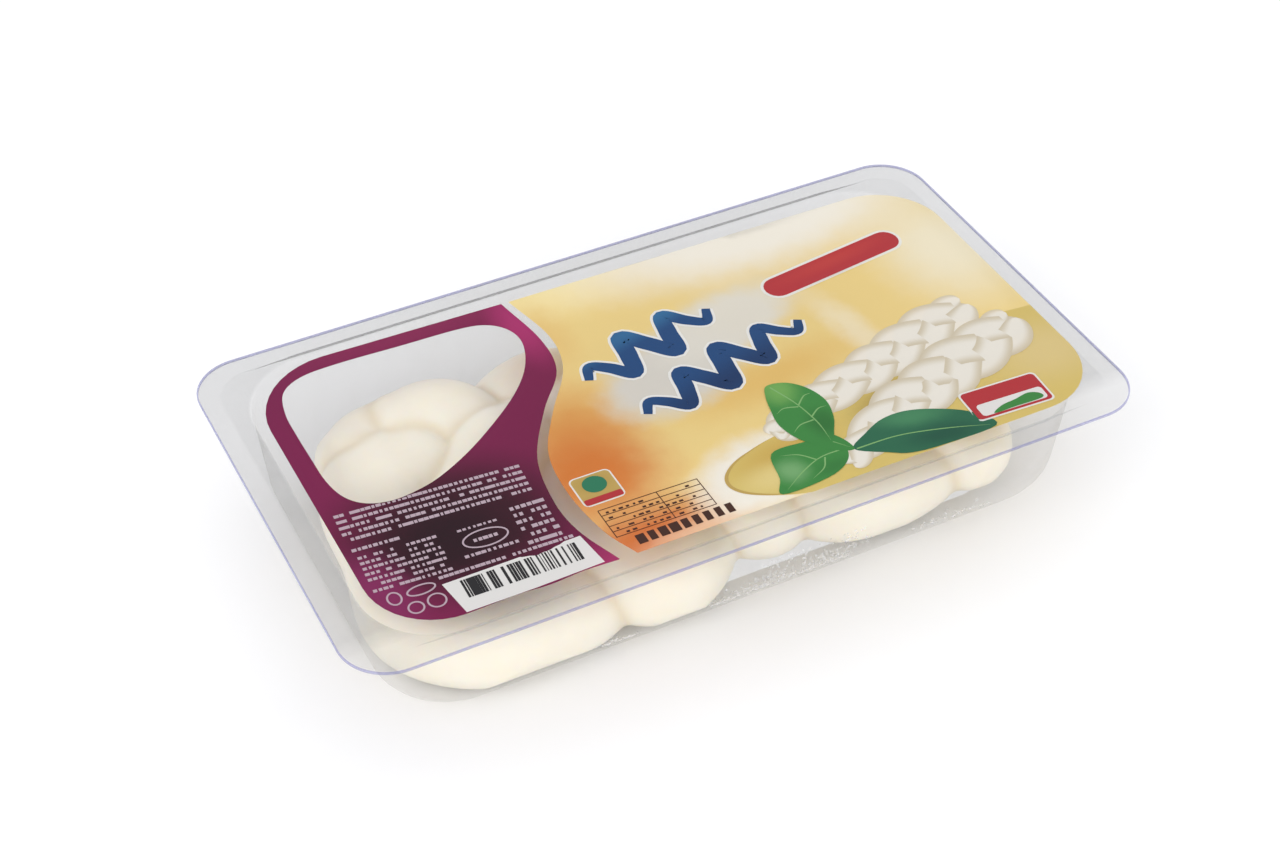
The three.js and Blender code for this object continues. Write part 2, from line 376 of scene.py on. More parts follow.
def clear_plastic(name, tint, haze_colour, haze_low, haze_high, streak, roughness=0.1,
                  flange_shade_tint=None, back_shade_tint=None):
    """Clear polyester sheet: mostly see-through, a little milky in drifts where it was stretched or
    where mist sits on its inner side, and mirror-like at a shallow angle. The flange keeps the
    sheet's full thickness. Over the flange and towards the back the see-through colour is tinted
    grey, which is painted shade; towards the front the sheet is made clearer and less milky, which
    is painted light."""
    material, tree = blank(name)
    where = add(tree, "ShaderNodeTexCoord").outputs["Object"]
    drawn = add(tree, "ShaderNodeMapping", {"Vector": where, "Scale": streak})
    drift = add(tree, "ShaderNodeTexNoise", {
        "Vector": drawn, "Scale": 1 / (9 * MM), "Detail": 3.0, "Roughness": 0.55})
    haze = add(tree, "ShaderNodeMapRange", {
        0: drift, 1: 0.32, 2: 0.7, 3: haze_low, 4: haze_high})
    facing = add(tree, "ShaderNodeLayerWeight", {"Blend": 0.5})
    shallow = add(tree, "ShaderNodeMath", {0: facing.outputs["Facing"], 1: 5.5},
                  operation="POWER")
    share = add(tree, "ShaderNodeMath", {0: shallow, 1: 0.6, 2: haze},
                operation="MULTIPLY_ADD", use_clamp=True)
    place = add(tree, "ShaderNodeSeparateXYZ", {0: where})
    # painted light: the milky and glossy share falls to 0.4 towards the front
    front_clearing_light = add(tree, "ShaderNodeMapRange", {
        0: place.outputs["Y"], 1: -47 * MM, 2: -41 * MM, 3: 0.4, 4: 1.0})
    share = add(tree, "ShaderNodeMath", {0: share, 1: front_clearing_light}, operation="MULTIPLY")
    seen = srgb(tint)
    if flange_shade_tint:
        # painted shade and light: the see-through colour is tinted grey over the flange and at the
        # back, and near white at the front
        for axis, start, end, before, after in (
                ("Y", 15, 45, None, back_shade_tint), ("Z", RIM - 1.2, RIM - 0.7, None, flange_shade_tint),
                ("Y", -48, -42, "#fafafa", None)):
            band = add(tree, "ShaderNodeMapRange", {
                0: place.outputs[axis], 1: start * MM, 2: end * MM})
            seen = add(tree, "ShaderNodeMix", {
                0: band, 6: srgb(before) if before else seen, 7: srgb(after) if after else seen,
            }, data_type="RGBA").outputs[2]
    ripple = add(tree, "ShaderNodeTexNoise", {"Scale": 1 / (14 * MM), "Detail": 1.5})
    relief = add(tree, "ShaderNodeBump", {
        "Strength": 0.25, "Distance": 0.3 * MM, "Height": ripple})
    gloss = add(tree, "ShaderNodeBsdfPrincipled", {
        "Base Color": srgb(haze_colour), "Roughness": roughness, "IOR": 2.0,
        "Normal": relief})
    through = add(tree, "ShaderNodeBsdfTransparent", {"Color": seen})
    mixed = add(tree, "ShaderNodeMixShader", {0: share, 1: through, 2: gloss})
    add(tree, "ShaderNodeOutputMaterial", {"Surface": mixed})
    return material


def stretched_curd():
    """Stretched curd: kneaded in hot water, pulled and plaited while soft. A moist satin skin over
    a body that lets some light in, with faint pull marks, and with painted shade that darkens it to
    tan in the creases between strands."""
    material, tree = blank("stretched_curd_satin")
    where = add(tree, "ShaderNodeTexCoord").outputs["Object"]
    crease_shade, along, around = (
        add(tree, "ShaderNodeAttribute", attribute_name=name).outputs["Fac"]
        for name in ("crease_shade", "along", "around"))
    cloud = add(tree, "ShaderNodeTexNoise", {
        "Vector": where, "Scale": 1 / (16 * MM), "Detail": 3.0})
    milk = add(tree, "ShaderNodeMix", {
        0: cloud, 6: srgb("#f3ead6"), 7: srgb("#f9f3e6")}, data_type="RGBA")
    # painted shade: the colour is darkened towards tan along the creases between strands
    crease_shade_share = add(tree, "ShaderNodeMath", {0: crease_shade, 1: 0.45}, operation="MULTIPLY")
    body = add(tree, "ShaderNodeMix", {
        0: crease_shade_share, 6: milk.outputs[2], 7: srgb("#e2d0aa")}, data_type="RGBA")
    grain = add(tree, "ShaderNodeCombineXYZ", {0: along, 1: around})
    # pull marks about 1.5 mm apart and 20 mm long
    pulls = add(tree, "ShaderNodeMapping", {"Vector": grain, "Scale": (1 / 20, 1 / 1.5, 1)})
    fibre = add(tree, "ShaderNodeTexNoise", {"Vector": pulls, "Scale": 1.0, "Detail": 2.0})
    dents = add(tree, "ShaderNodeTexNoise", {
        "Vector": where, "Scale": 1 / (7 * MM), "Detail": 2.0})
    height = add(tree, "ShaderNodeMath", {0: fibre, 1: 0.25, 2: dents},
                 operation="MULTIPLY_ADD")
    relief = add(tree, "ShaderNodeBump", {
        "Strength": 0.3, "Distance": 0.35 * MM, "Height": height})
    damp = add(tree, "ShaderNodeMapRange", {0: dents, 1: 0.3, 2: 0.7, 3: 0.3, 4: 0.44})
    shader = add(tree, "ShaderNodeBsdfPrincipled", {
        "Base Color": body.outputs[2], "Roughness": damp, "IOR": 1.45,
        "Subsurface Weight": 0.6, "Subsurface Radius": (1.0, 0.8, 0.5),
        "Subsurface Scale": 5 * MM, "Coat Weight": 0.15, "Coat Roughness": 0.2,
        "Normal": relief})
    add(tree, "ShaderNodeOutputMaterial", {"Surface": shader})
    return material


# thermoformed tray sheet, sealing film, the tray's punched edge, and beads of water, whose milky
# white share is painted glint
# the tray sheet gets painted shade over its flange and back and painted light at its front
tray_sheet = clear_plastic("formed_polyester_sheet", "#f7f7f7", "#f1f0ed", 0.05, 0.13,
                           (1, 1, 0.35), flange_shade_tint="#dcdcdc", back_shade_tint="#e8e8e8")
film_sheet = clear_plastic("sealing_film_gloss", "#f6f6f6", "#f1f0ee", 0.03, 0.06, (1, 1, 1),
                           0.14)
cut_edge = clear_plastic("cut_edge_of_sheet", "#e2e2f2", "#bdbedb", 0.3, 0.6, (1, 1, 1), 0.2)
# painted highlight: the beads' milky white share stands in for their glints
water = clear_plastic("water_bead_painted_glint", "#ffffff", "#ffffff", 0.35, 0.6, (1, 1, 1), 0.05)
cheese = stretched_curd()

# gravure inks, each with its ground colour and its soft spots: colour, middle, radii, share of
# the radii that is full, turn in degrees and strength
purple_ink = printed_ink("ink_magenta_to_aubergine", "#761747", [
    ("#85224f", (-45, 52), (60, 16), 0.2, 0, 1.0),
    ("#3a0c1f", (-63, -22), (36, 29), 0.35, -12, 1.0),
    ("#240714", (-66, -25), (20, 17), 0.2, 0, 0.9),
    ("#82265a", (-86, -34), (11, 20), 0.1, 8, 0.8),
    ("#a22e62", (-34, -48), (15, 13), 0.1, 0, 0.9),
    ("#a92d6a", (-21, 36), (9, 22), 0.1, 0, 0.9)], grain=2.4)
yellow_ink = printed_ink("ink_cream_yellow_orange", "#e8ce88", [
    ("#f2e0a6", (-6, 46), (26, 18), 0.1, -6, 0.9),
    ("#efeade", (48, 46), (66, 25), 0.3, 0, 0.95),
    ("#ece4cc", (88, 16), (26, 34), 0.1, 0, 0.85),
    ("#e2c079", (-18, 28), (11, 18), 0.1, 0, 0.9),
    ("#d99b50", (-26, -4), (24, 22), 0.1, 20, 0.9),
    ("#d27a35", (-29, -20), (26, 26), 0.15, 20, 1.0),
    ("#cb7038", (-26, -44), (30, 14), 0.15, 6, 1.0),
    ("#e6bd9c", (-14, -47), (22, 7), 0.1, 2, 0.8),
    ("#e2b968", (24, -9), (36, 11), 0.1, 8, 0.8),
    ("#f0e8d2", (51, -2), (7, 26), 0.1, 10, 0.55),
    ("#ece7db", (6, -37), (23, 15), 0.45, 14, 1.0),
    ("#d5d1c8", (4, 3), (25, 16), 0.5, 20, 1.0),
    ("#dfdbd0", (24, 14), (28, 14), 0.45, 16, 0.95)], feather=5.0)
oil_ink = printed_ink("ink_olive_yellow_oil", "#d6c070", [
    ("#cba954", (14, -33), (22, 8), 0.1, 8, 0.8),
    ("#e2cf8c", (8, -40), (13, 7), 0.1, 0, 0.8),
    ("#dcc88c", (88, -30), (22, 16), 0.1, 0, 0.9),
    ("#a58a42", (46, -27), (18, 6), 0.1, 14, 0.7)])
navy_ink = printed_ink("ink_navy", "#1f4a7d", [
    ("#3f86b4", (10, 24), (60, 6), 0.0, 16, 0.5), ("#16315c", (14, -6), (60, 9), 0.0, 16, 0.8)])
white_ink = printed_ink("ink_white", "#e9e8e4")
red_ink = printed_ink("ink_red", "#b8343a", [("#c9453f", (60, 24), (24, 4), 0.0, 8, 0.6)])
green_ink = printed_ink("ink_leaf_green_fresh", "#3f8a42", [
    ("#7db35d", (23, -14), (7, 8), 0.1, 0, 0.8), ("#2f6f33", (27, -29), (6, 8), 0.1, 0, 0.8),
    ("#8fbf86", (12, -40), (6, 6), 0.1, 0, 0.6), ("#357a3a", (22, -43), (8, 4), 0.1, 0, 0.7)],
    feather=2.0)
dark_green_ink = printed_ink("ink_leaf_green_deep", "#2c6b4d", [
    ("#4c8f62", (46, -36), (14, 5), 0.1, -12, 0.8), ("#1d5240", (50, -45), (14, 5), 0.1, -10, 0.8)],
    feather=1.5)
vein_ink = printed_ink("ink_leaf_vein", "#86b873")
dark_ink = printed_ink("ink_dark_brown", "#46291f")
black_ink = printed_ink("ink_black", "#2b2a2c")
pale_ink = printed_ink("ink_pale_on_purple", "#c2adb8")
gold_ink = printed_ink("ink_dull_gold", "#c2a45c", [
    ("#a98d3f", (-30, -23), (6, 4), 0.0, 0, 0.6)])
mark_green_ink = printed_ink("ink_mark_green", "#2f7d5c")


def pictured_cheese():
    """Ink of the pictured plaits: cream in the middle of each strand, greyer at its edge."""
    material = printed_ink("ink_cream_and_grey", "#e2ddd0")
    tree = material.node_tree
    shader = next(n for n in tree.nodes if n.type == "BSDF_PRINCIPLED")
    edge = add(tree, "ShaderNodeAttribute", attribute_name="edge").outputs["Fac"]
    soft = add(tree, "ShaderNodeMapRange", {0: edge, 1: 0.35, 2: 1.0, 3: 0.0, 4: 0.75},
               interpolation_type="SMOOTHSTEP")
    tone = add(tree, "ShaderNodeMix", {
        0: soft, 6: srgb("#eee9de"), 7: srgb("#c6b797")}, data_type="RGBA")
    tree.links.new(tone.outputs[2], shader.inputs["Base Color"])
    return material


plait_ink = pictured_cheese()

# ---------------------------------------------------------------- camera, floor and lights
camera = put("camera", bpy.data.cameras.new("camera"))
camera.data.sensor_width = 36.0
camera.data.lens = 63.86
camera.data.clip_start, camera.data.clip_end = 0.01, 20
forward = Vector((0.3387, 0.6666, -0.664)).normalized()
right = Vector((0.8911, -0.4538, -0.001))
right = (right - forward * right.dot(forward)).normalized()
up = right.cross(forward)
pose = Matrix((right, up, -forward)).transposed().to_4x4()
pose.translation = Vector((-190.2, -361.9, 383.0)) * MM
camera.matrix_world = pose
bpy.context.scene.camera = camera
bpy.context.scene.view_settings.view_transform = "Standard"

floor_material, floor_tree = blank("pale_painted_board")
floor_cloud = add(floor_tree, "ShaderNodeTexNoise", {"Scale": 3.0, "Detail": 2.0})
floor_tone = add(floor_tree, "ShaderNodeMix", {
    0: floor_cloud, 6: srgb("#f6f6f6"), 7: srgb("#f9f9f9")}, data_type="RGBA")
floor_shader = add(floor_tree, "ShaderNodeBsdfPrincipled", {
    "Base Color": floor_tone.outputs[2], "Roughness": 0.75})
add(floor_tree, "ShaderNodeOutputMaterial", {"Surface": floor_shader})
floor_mesh = bpy.data.meshes.new("floor")
floor_mesh.from_pydata([(-9, -9, 0), (9, -9, 0), (9, 9, 0), (-9, 9, 0)], [], [(0, 1, 2, 3)])
floor_mesh.materials.append(floor_material)
put("floor", floor_mesh)

world = bpy.data.worlds.new("studio")
bpy.context.scene.world = world
world.use_nodes = True
sky = world.node_tree.nodes["Background"].inputs
sky["Color"].default_value, sky["Strength"].default_value = srgb("#fbfcff"), 1.0


def soft_box(name, place, aim, size, power, tone="#ffffff"):
    """A large square studio light."""
    lamp = bpy.data.lights.new(name, "AREA")
    lamp.shape = "RECTANGLE"
    lamp.size, lamp.size_y = size
    lamp.energy = power
    lamp.color = srgb(tone)[:3]
    holder = put(name, lamp)
    holder.location = place
    holder.rotation_mode = "QUATERNION"
    holder.rotation_quaternion = (Vector(aim) - Vector(place)).to_track_quat("-Z", "Y")


soft_box("box_over_left", (-0.95, -0.2, 0.8), (0, 0, 0.01), (0.6, 0.6), 2.6, "#fffcf8")
soft_box("box_front", (-0.25, -1.05, 0.66), (0, 0, 0.01), (1.2, 0.5), 3.4)
soft_box("box_right", (1.0, 0.3, 0.7), (0, 0, 0.01), (0.5, 0.7), 1.0)


# ---------------------------------------------------------------- tray
def sheet_side(offset, round_steps=9):
    """One side of the formed sheet, from the base's middle up to the mouth, as rings."""
    low, top = WALL - offset, RIM - offset
    radius = BASE_ROUND + offset
    rings = []

    def ring_at(inset, z):
        share = (z - low) / (top - low)
        shrink = 2 * (offset - DRAFT * (1 - share) - inset)
        corner = BASE_CORNER + (MOUTH[2] - BASE_CORNER) * share + offset
        rings.append(plan_ring(MOUTH[0] + shrink, MOUTH[1] + shrink,
                               max(corner - 0.5 * inset, 4), z))

    for step in range(round_steps + 1):
        angle = math.pi / 2 * step / round_steps
        ring_at(radius * (1 - math.sin(angle)), low + radius * (1 - math.cos(angle)))
    for share in (0.25, 0.5, 0.75):
        ring_at(0, low + radius + (top - LIP_ROUND - low - radius) * share)
    for step in range(5):
        angle = math.pi / 2 * step / 4
        ring_at(-LIP_ROUND * (1 - math.cos(angle)), top - LIP_ROUND * (1 - math.sin(angle)))
    return rings


def flange_rings(height):
    """Rings over the flange from the mouth outwards: its outer band lies a little lower."""
    rings = []
    for inset, drop in ((SEAL_BAND + SEAL_EDGE, 0), (SEAL_BAND + 0.2, 0.25),
                        (SEAL_BAND - 0.2, 0.75), (SEAL_BAND - SEAL_EDGE, 1), (0.15, 1)):
        rings.append([(x, y, height - BAND_DROP * drop) for x, y in flange_box(inset, 14)])
    return rings


# the sheet is drawn by its outer side, without the lid that loft() closes its last ring with
skin_points, skin_faces = loft(sheet_side(WALL) + flange_rings(RIM - WALL))
tray = as_object("tray_shell", skin_points[:-1],
                 [face for face in skin_faces if len(skin_points) - 1 not in face],
                 tray_sheet)
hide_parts("tray")

edge_rings = [plan_ring(LENGTH, WIDTH, FLANGE_CORNER, RIM - BAND_DROP - d) for d in (WALL, 0)]
inner_edge = [plan_ring(LENGTH - 2 * CUT_LINE, WIDTH - 2 * CUT_LINE, FLANGE_CORNER - CUT_LINE,
                        RIM - BAND_DROP - d) for d in (0, WALL)]
sides = len(edge_rings[0])
edge_vertices = [p for ring in edge_rings + inner_edge for p in ring]
edge_faces = [(r * sides + s, r * sides + (s + 1) % sides,
               (r + 1) % 4 * sides + (s + 1) % sides, (r + 1) % 4 * sides + s)
              for r in range(4) for s in range(sides)]
as_object("flange_cut_edge", edge_vertices, edge_faces, cut_edge)

# ---------------------------------------------------------------- lid film
seal_lines = []
for inset in (SEAL_BAND + SEAL_EDGE, SEAL_BAND, SEAL_BAND - SEAL_EDGE):
    seal_lines += flange_box(inset)
film_outline = rounded_box(0, 0, LENGTH - 2 * CUT_LINE, WIDTH - 2 * CUT_LINE, FLANGE_CORNER,
                           0, 12)
film = sheet("film_clear", film_outline, film_sheet, FILM_LAYER, extra=seal_lines)
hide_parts("lid_film")


# ---------------------------------------------------------------- cheese
def strand_line(way):
    """Points along the middle of a strand with their widths."""
    route = []
    for k, stop in enumerate(way):
        if stop is not SWING:
            route.append(stop)
            continue
        (x0, y0, _, w0), (x1, y1, _, w1) = way[k - 1], way[k + 1]
        route += [(x0 + (x1 - x0) * sx, y0 + (y1 - y0) * sy, lift, w0 + (w1 - w0) * sy)
                  for sx, sy, lift in CROSSINGS]
    stops = [(x, y, MIDDLE + LIFT * lift) for x, y, lift, _ in route]
    steps = 14
    line = np.array(curve_through(stops, steps))
    t = np.arange(len(line)) / steps
    span = np.minimum(t.astype(int), len(route) - 2)
    ease = t - span
    ease = ease * ease * (3 - 2 * ease)
    wide = np.array([stop[3] for stop in route])
    return line, wide[span] * (1 - ease) + wide[span + 1] * ease


def strand_axes(line):
    """Directions along, across and upwards at each point of a strand's line."""
    along = unit(np.gradient(line, axis=0))
    across = unit(np.cross([0, 0, 1], along))
    return along, across, np.cross(along, across)


def strand_skin(line, wide, sides=36, caps=6):
    along, across, upward = strand_axes(line)
    angle = 2 * np.pi * np.arange(sides) / sides
    cs = np.sign(np.cos(angle)) * np.abs(np.cos(angle)) ** SQUARING * STRAND[0] / 2
    sn = np.sign(np.sin(angle)) * np.abs(np.sin(angle)) ** SQUARING * STRAND[1] / 2

    def ring(k, reach, shrink):
        middle = line[k] + along[k] * reach * wide[k] * STRAND[1] / 2
        return middle + shrink * wide[k] * (np.outer(cs, across[k]) + np.outer(sn, upward[k]))

    rings = [ring(k, 0, 1) for k in range(len(line))]
    for step in range(1, caps + 1):
        a = math.pi / 2 * step / (caps + 0.5)
        rings.insert(0, ring(0, -math.sin(a), math.cos(a)))
        rings.append(ring(len(line) - 1, math.sin(a), math.cos(a)))
    return loft(rings)


def keep_in_tray(points, gap):
    """Moves points that reach the tray's walls or floor back to a small gap from them."""
    p = points.copy()
    p[:, 2] = np.maximum(p[:, 2], REST)
    share = (p[:, 2] - WALL) / (RIM - WALL)
    below = np.clip(BASE_ROUND - (p[:, 2] - WALL), 0, BASE_ROUND)
    inset = BASE_ROUND - np.sqrt(BASE_ROUND ** 2 - below ** 2)
    corner = np.maximum(BASE_CORNER + share - 0.5 * inset, 4)
    half = np.array(MOUTH[:2]) / 2 - (DRAFT * (1 - share) + inset)[:, None]
    q = np.abs(p[:, :2]) - (half - corner[:, None])
    out = np.maximum(q, 0)
    reach = np.linalg.norm(out, axis=1)
    depth = reach + np.minimum(q.max(1), 0) - corner + gap
    side = np.where(reach[:, None] > 0, out / np.maximum(reach, 1e-6)[:, None],
                    (q == q.max(1)[:, None]).astype(float))
    p[:, :2] -= np.sign(p[:, :2]) * side * np.maximum(depth, 0)[:, None]
    return p


lines = [strand_line(way) for way in STRANDS]
all_vertices, all_faces = [], []
for line, wide in lines:
    vertices, faces = strand_skin(line, wide)
    all_faces += [tuple(k + len(all_vertices) for k in face) for face in faces]
    all_vertices += vertices
raw_plait = put("raw_plait", new_mesh("raw_plait", all_vertices, all_faces))
joiner = raw_plait.modifiers.new("join", "REMESH")
joiner.mode = "VOXEL"
joiner.voxel_size = GRAIN * MM
soften = raw_plait.modifiers.new("soften", "SMOOTH")
soften.factor = 0.5
soften.iterations = SOFTENING
shaped = bpy.data.meshes.new_from_object(
    raw_plait.evaluated_get(bpy.context.evaluated_depsgraph_get()))
bpy.data.objects.remove(raw_plait)
co = np.zeros(len(shaped.vertices) * 3, np.float32)
shaped.vertices.foreach_get("co", co)
points = keep_in_tray(co.reshape(-1, 3).astype(float) / MM, WALL_GAP)

# where each point lies on its strand, and how near it is to the next strand
nearness, along_at, around_at = [], [], []
for line, wide in lines:
    along, across, upward = strand_axes(line)
    length = np.concatenate([[0], np.cumsum(np.linalg.norm(np.diff(line, axis=0), axis=1))])
    nearest = np.concatenate([
        ((part[:, None, :] - line[None]) ** 2).sum(2).argmin(1)
        for part in np.array_split(points, max(1, len(points) // 4000))])
    away = points - line[nearest]
    a = (away * across[nearest]).sum(1) / (wide[nearest] * STRAND[0] / 2)
    u = (away * upward[nearest]).sum(1) / (wide[nearest] * STRAND[1] / 2)
    f = (away * along[nearest]).sum(1) / (wide[nearest] * STRAND[1] / 2)
    nearness.append(np.sqrt(a * a + u * u + f * f))
    along_at.append(length[nearest])
    around_at.append(np.arctan2(u, a) * 12)
nearness = np.array(nearness)
own = nearness.argmin(0)
ranked = np.sort(nearness, axis=0)
gap_to_next = (ranked[1] - ranked[0]) * 11
pick = (own, np.arange(len(points)))
shaped.vertices.foreach_set("co", (points * MM).astype(np.float32).ravel())
shaped.polygons.foreach_set("use_smooth", [True] * len(shaped.polygons))
shaped.materials.clear()
shaped.materials.append(cheese)
# painted shade: this attribute darkens the curd where two strands meet
point_attribute(shaped, "crease_shade", np.exp(-(gap_to_next / 1.6) ** 2))
point_attribute(shaped, "along", np.array(along_at)[pick] + 300 * own)
point_attribute(shaped, "around", np.array(around_at)[pick])
shaped.update()
plait = put("plait_of_stretched_curd", shaped)
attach(plait, "root")
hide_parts("cheese_plait")

# ---------------------------------------------------------------- print: the fields of colour
frame_side = curve_through([(-21.5, 45.7), (-18.7, 29), (-20.3, 16.3), (-28.9, 4.9),
                            (-37.4, -9.4), (-40.3, -23.7), (-39.6, -35), (-35.3, -47.3)])
frame_foot = curve_through([(-35.6, -47.4), (-44, -47.0), (-52, -47.5), (-60, -47.0),
                            (-71.5, -47.3)], 4)
window = curve_through([(-83.4, 31), (-81.2, 38.2), (-75.5, 41.8), (-66, 42.5), (-50, 41.9),
                        (-34, 41.3), (-27.5, 39.4), (-23.9, 35.2), (-23.2, 29.5),
                        (-25.8, 22.2), (-30.4, 15.7), (-37.4, 9.1), (-48.9, 0.6),
                        (-58.9, -4.9), (-66, -7.1), (-72.5, -7.6), (-78, -5.8), (-81.6, -1.6),
                        (-83.3, 5), (-83.6, 14), (-83.7, 23)], 5, closed=True)
frame_panel = sheet("print_purple_frame",
                    arc(-68.5, 26.8, 20, 180, 90) + frame_side + frame_foot
                    + arc(-71.5, -30.3, 17, 270, 180),
                    purple_ink, 0, holes=[window])
field_side = curve_through([(-19.6, 45.6), (-16.3, 29), (-18.6, 16.3), (-27.4, 3.4),
                            (-34.6, -9.4), (-36.4, -23.7), (-34.6, -38), (-31, -47.4)])
corner_arcs = arc(77, -30.7, 17.5, 270, 360) + arc(77, 27.2, 17.5, 0, 90)
field = sheet("print_yellow_field",
              field_side + [(-31 + 9 * k, -47.4 - 0.8 * k / 11) for k in range(1, 12)]
              + corner_arcs, yellow_ink, 0)
puddle_side = [(94.5, -14), (78, -13), (60, -17), (40, -23), (22, -26.5), (10, -28.6),
               (2.5, -31.2), (-1.8, -34.2), (-3.1, -37.6), (-1.4, -41.2), (3, -44.3),
               (9, -46.9), (13, -48.0)]
sheet("print_oil_puddle", curve_through(puddle_side, 5) + arc(77, -30.7, 17.5, 270, 360),
      oil_ink, 1)
rim_line = [(12, -28.2), (3, -31), (-1.6, -34.2), (-2.9, -37.6), (-1.2, -41), (3, -44),
            (9, -46.6)]
strokes("print_oil_rim", [(rim_line, [0, 0.5, 0.8, 0.9, 0.8, 0.5, 0])], 2,
        gold_ink)


# ---------------------------------------------------------------- print: pictured plaits
STRAND_RISE = 0.02  # how far a drawn strand rises or sinks as it passes another


def pictured_plait(name, way, widths, turns, layer):
    """A three-strand plait drawn flat: each strand swings from side to side and passes over the
    next. The edge attribute is 0 in the middle of a strand and 1 at its sides."""
    line = np.array(curve_through([(*p, w) for p, w in zip(way, widths)], 30))
    t = np.linspace(0, 1, len(line))
    along = unit(np.gradient(line[:, :2], axis=0))
    across = np.stack([-along[:, 1], along[:, 0]], 1)
    full = np.sqrt(1 - np.abs(2 * t - 1) ** 14)  # rounded ends
    shares = (1, 0.8, 0.45, 0, -0.45, -0.8, -1)
    vertices, faces, edge = [], [], []
    for strand in range(3):
        phase = 2 * np.pi * (turns * t + strand / 3)
        middle = line[:, :2] + across * (np.sin(phase) * 0.25 * line[:, 2])[:, None]
        heading = unit(np.gradient(middle, axis=0))
        rise = 0.03 + INK_LAYER * layer + STRAND_RISE * (1 + np.sin(2 * phase))
        half = 0.3 * line[:, 2] * full * (1 + 0.08 * np.sin(9 * t + 2 * strand))
        for k in range(len(line)):
            for share in shares:
                x = middle[k, 0] - heading[k, 1] * half[k] * share
                y = middle[k, 1] + heading[k, 0] * half[k] * share
                if k and share != shares[0]:
                    last = len(vertices)
                    faces.append((last - 1, last, last - 7, last - 8))
                vertices.append((x, y, film_height(x, y) + rise[k]))
                edge.append(abs(share))
    piece = as_object(name, vertices, faces, plait_ink)
    point_attribute(piece.data, "edge", edge)


pictured_plait("print_far_plait",
               [(81, -6.8), (68.3, -10.1), (55.4, -14.4), (44, -18), (31, -21.2),
                (20, -25), (14.4, -28)], [13, 14.5, 13.5, 12.5, 11.5, 10.5, 7.5], 2.5, 1.4)
pictured_plait("print_near_plait",
               [(88.5, -16.6), (78.3, -20.9), (65.4, -25.1), (55.4, -29.4), (44, -32.6),
                (32, -39), (24.5, -44.0)], [13, 15.5, 16, 15, 13, 10, 7.5], 2.3, 3.0)

# ---------------------------------------------------------------- print: leaves
leaves = [
    ("print_leaf_right", [(28.3, -40), (33.3, -36.6), (39.7, -33.9), (46.9, -34.1),
                          (55.4, -38), (60.4, -42.3), (62.1, -47.8), (48.3, -48.0),
                          (39.7, -47), (34.7, -44.4)], dark_green_ink,
     [((29, -40.2), (40, -40.6), (51, -43.4), (61, -47))]),
    ("print_leaf_lower", [(10.6, -32.9), (18.3, -32.6), (23.8, -34.3), (26.9, -38.7),
                          (24.7, -43), (18.3, -45.6), (6.4, -45.8), (8.3, -40.9)], green_ink,
     [((26, -38.8), (20, -39), (14, -41.4), (8, -45)), ((19, -39.4), (16, -36), (12, -34.4)),
      ((21, -39.4), (19, -42.4), (15, -44.4))]),
    ("print_leaf_small", [(19.7, -29.9), (24, -31), (27.5, -35), (28.6, -39.9),
                          (25.5, -39.2), (22, -36.2)], green_ink,
     [((20.4, -30.6), (24.4, -34.6), (28, -39.2))]),
    ("print_leaf_upper", [(21.4, -11.5), (26.1, -12.6), (29.7, -16.6), (31.3, -22.3),
                          (30, -28), (27.6, -32.3), (24.9, -35.9), (21.1, -34.2),
                          (18.6, -30.9), (17.1, -25.1), (18, -19.4), (19.4, -14.4)], green_ink,
     [((21.8, -12.4), (24.4, -20), (25.6, -28), (25.2, -35)),
      ((24.6, -21), (27.4, -18.6), (29.4, -18.4)), ((25.2, -26), (28.2, -24), (30.4, -24)),
      ((24.4, -21.4), (21, -20.4), (18.6, -21.4)), ((25.2, -27), (21.6, -27.2), (18.8, -29))]),
]
for layer, (name, outline, ink, veins) in enumerate(leaves):
    sheet(name, curve_through(outline, 5, closed=True), ink, 5 + 0.4 * layer,
          pitch=2.0)
    strokes(name + "_veins", [(vein, [0.4] + [0.3] * (len(vein) - 2) + [0.04])
                              for vein in veins], 5.3 + 0.4 * layer, vein_ink)

# ---------------------------------------------------------------- print: title and marks


def wave_line(start, end, height, turns):
    """A plain wave drawn from one point to another, flatter at its ends."""
    line = []
    for k in range(4 * turns + 1):
        t = k / (4 * turns)
        swing = height * math.sin(math.pi * k / 2) * math.sin(math.pi * (0.12 + 0.76 * t))
        line.append((start[0] + (end[0] - start[0]) * t - 0.3 * swing,
                     start[1] + (end[1] - start[1]) * t + swing))
    return line


